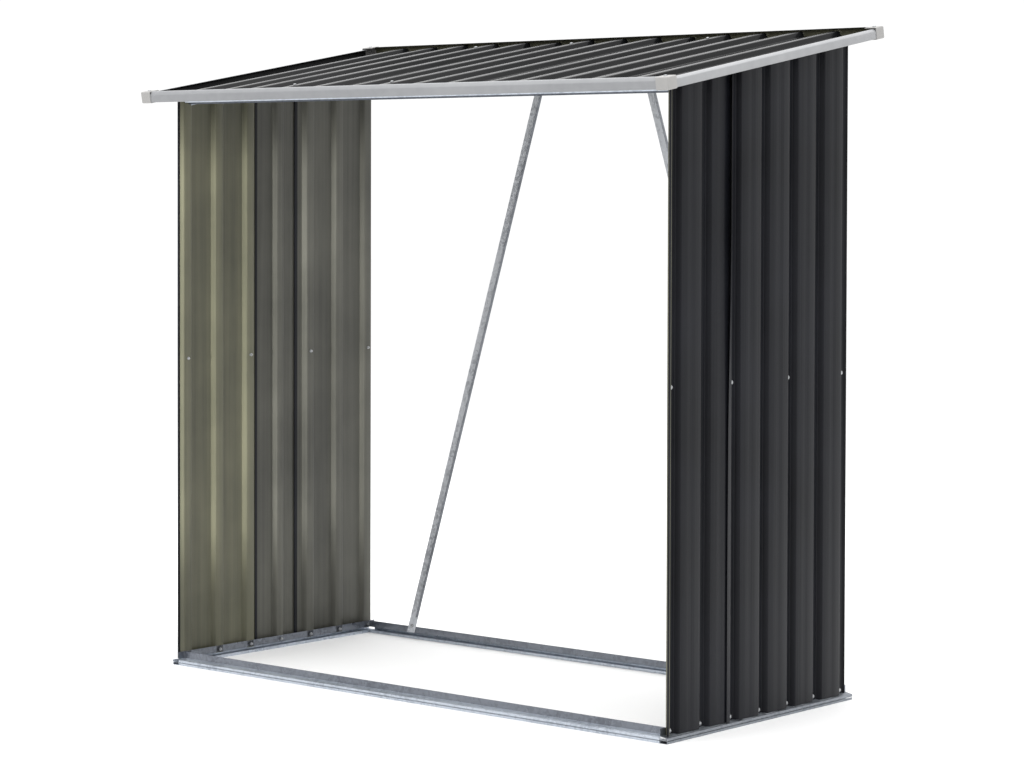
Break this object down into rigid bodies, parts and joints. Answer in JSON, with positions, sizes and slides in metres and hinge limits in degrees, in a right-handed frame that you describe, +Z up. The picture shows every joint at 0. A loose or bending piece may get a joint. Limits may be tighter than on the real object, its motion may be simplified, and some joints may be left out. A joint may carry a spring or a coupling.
{
  "type": "metal log store",
  "caption": "Open-fronted log store: galvanised base frame, two ribbed steel side walls, a single-pitch ribbed roof with edge trims and corner caps, and diagonal braces across the open back.",
  "frame": {"origin": "middle of the bounding box at ground level, under the base rails", "axes": "+X along the store's width, to the right seen from the front; +Y to the rear; +Z up"},
  "size_m": [1.724, 0.8782, 1.6549],
  "materials": {
    "galvanised_strip": "hot-dip galvanised steel strip with fine spangle, satin",
    "anthracite_sheet": "coil-coated steel sheet, satin anthracite outside with an olive-grey backing coat inside",
    "silver_trim": "coil-coated steel strip, satin silver-grey",
    "cap_plastic": "moulded plastic, pale grey, fine matte grain"
  },
  "bodies": {
    "root": {"front_rail_left": "galvanised_strip", "front_rail_right": "galvanised_strip", "rear_rail_left": "galvanised_strip", "rear_rail_right": "galvanised_strip", "left_side_rail": "galvanised_strip", "right_side_rail": "galvanised_strip", "left_wall_front_sheet": "anthracite_sheet", "left_wall_middle_sheet": "anthracite_sheet", "left_wall_rear_sheet": "anthracite_sheet", "right_wall_front_sheet": "anthracite_sheet", "right_wall_middle_sheet": "anthracite_sheet", "right_wall_rear_sheet": "anthracite_sheet", "front_top_rail": "galvanised_strip", "rear_top_rail": "galvanised_strip", "left_top_rail": "galvanised_strip", "right_top_rail": "galvanised_strip", "roof_sheet_1": "anthracite_sheet", "roof_sheet_2": "anthracite_sheet", "roof_sheet_3": "anthracite_sheet", "roof_sheet_4": "anthracite_sheet", "roof_sheet_5": "anthracite_sheet", "roof_sheet_6": "anthracite_sheet", "roof_sheet_7": "anthracite_sheet", "front_trim": "silver_trim", "rear_trim": "anthracite_sheet", "left_trim": "silver_trim", "right_trim": "silver_trim", "front_left_cap": "cap_plastic", "front_right_cap": "cap_plastic", "rear_left_cap": "cap_plastic", "rear_right_cap": "cap_plastic", "left_brace": "galvanised_strip", "right_brace": "galvanised_strip"}
  },
  "joints": []
}
